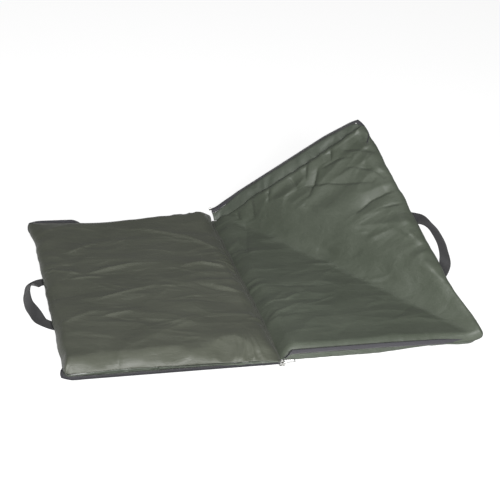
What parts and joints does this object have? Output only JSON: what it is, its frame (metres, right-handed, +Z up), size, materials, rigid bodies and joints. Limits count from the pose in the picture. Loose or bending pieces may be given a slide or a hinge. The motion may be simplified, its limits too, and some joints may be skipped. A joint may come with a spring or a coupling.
{
  "type": "unhooking mat",
  "caption": "Folding padded unhooking mat, opened out, with puckered zip gussets, webbing carry handles and one corner sprung up.",
  "frame": {"origin": "on the floor under the middle of the left half", "axes": "+X from the left half across the fold to the right half, +Y to the rear, +Z up"},
  "size_m": [0.9065, 0.6205, 0.2924],
  "materials": {
    "cover": "satin",
    "base": "satin",
    "gusset": "satin",
    "foam": "matte",
    "tape": "matte",
    "coil": "satin",
    "webbing": "matte",
    "metal": "satin"
  },
  "bodies": {
    "left_half": {"left_base_cover": "base", "left_foam_pad": "foam", "left_top_cover": "cover", "left_gusset": "gusset", "left_zip_tape": "tape", "left_zip_coil": "coil", "left_zip_stop": "metal", "fold_web": "gusset"},
    "right_half": {"right_base_cover": "base", "right_base_cover_bend": "base", "right_foam_pad": "foam", "right_foam_pad_bend": "foam", "right_top_cover": "cover", "right_top_cover_bend": "cover", "right_gusset": "gusset", "right_gusset_end_bend": "gusset", "right_gusset_rear_bend": "gusset", "right_zip_tape": "tape", "right_zip_tape_end_bend": "tape", "right_zip_tape_rear_bend": "tape", "right_zip_coil": "coil", "right_zip_coil_end_bend": "coil", "right_zip_coil_rear_bend": "coil", "right_zip_stop": "metal"},
    "right_corner": {"right_base_cover_corner": "base", "right_foam_pad_corner": "foam", "right_top_cover_corner": "cover", "right_gusset_corner": "gusset", "right_zip_tape_corner": "tape", "right_zip_coil_corner": "coil"},
    "left_strap": {"left_handle": "webbing"},
    "right_strap": {"right_handle": "webbing"},
    "slider": {"zip_slider": "metal"},
    "pull": {"zip_pull": "metal"}
  },
  "joints": [
    {"name": "fold", "type": "hinge", "parent": "left_half", "child": "right_half", "pos_m": [0.2085, 0, 0.038], "axis": [0, -1, 0], "range_deg": [0, 180], "deforming": ["fold_web"]},
    {"name": "corner_lift", "type": "hinge", "parent": "right_half", "child": "right_corner", "pos_m": [0.2085, 0.28, 0], "axis": [0.5744, -0.8185, 0], "range_deg": [-52, 0], "deforming": ["right_base_cover_bend", "right_foam_pad_bend", "right_top_cover_bend", "right_gusset_end_bend", "right_gusset_rear_bend", "right_zip_tape_end_bend", "right_zip_tape_rear_bend", "right_zip_coil_end_bend", "right_zip_coil_rear_bend"]},
    {"name": "left_handle_swing", "type": "hinge", "parent": "left_half", "child": "left_strap", "pos_m": [-0.1875, -0.035, 0.0046], "axis": [0, 1, 0], "range_deg": [-60, 0]},
    {"name": "right_handle_swing", "type": "hinge", "parent": "right_corner", "child": "right_strap", "pos_m": [0.55648, -0.0687, 0.11567], "axis": [0.1807, -0.8732, -0.4527], "range_deg": [-60, 0]},
    {"name": "slider_run", "type": "slide", "parent": "left_half", "child": "slider", "axis": [-1, 0, 0], "range_m": [0, 0.34]},
    {"name": "pull_flip", "type": "hinge", "parent": "slider", "child": "pull", "pos_m": [0.2097, -0.31267, 0.00942], "axis": [0, -1, 0], "range_deg": [0, 165]}
  ],
  "couplings": [
    {"joint": "corner_lift", "follows": "fold", "ratio": -0.28889}
  ]
}
